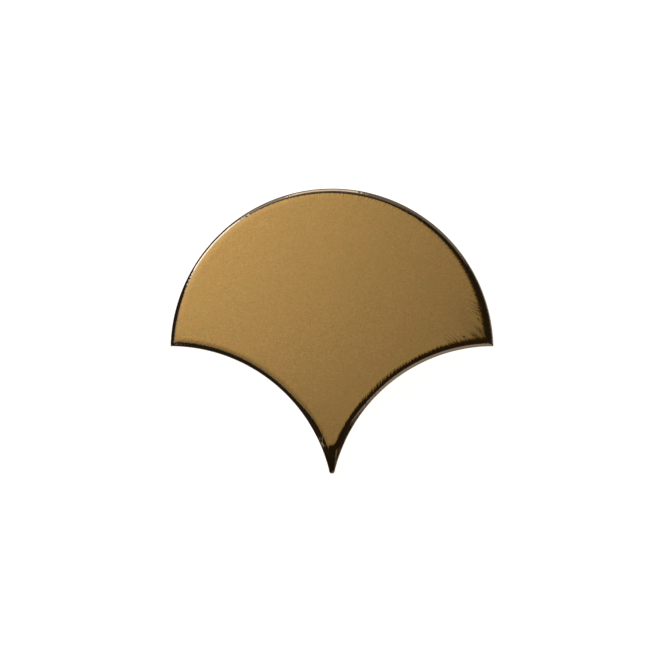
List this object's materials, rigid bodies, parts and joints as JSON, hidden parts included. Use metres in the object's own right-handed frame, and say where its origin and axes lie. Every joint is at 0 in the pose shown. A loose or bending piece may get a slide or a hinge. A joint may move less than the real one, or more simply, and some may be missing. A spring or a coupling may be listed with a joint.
{
  "type": "fish scale tile",
  "caption": "Fan-shaped wall tile with a round crown, hollow flanks and a narrow tip, metallic bronze glaze, soft rolled edge and keyed back; crowns nest in the flanks of the next row.",
  "frame": {"origin": "centre of the crown's arc, on the plane of the back", "axes": "+Z out of the glazed face, +Y from the tip to the crown, +X to the right when the face is seen with the crown up"},
  "size_m": [0.12, 0.106, 0.009],
  "materials": {
    "glaze": "gloss"
  },
  "bodies": {
    "root": {"tile": "glaze"}
  },
  "joints": []
}
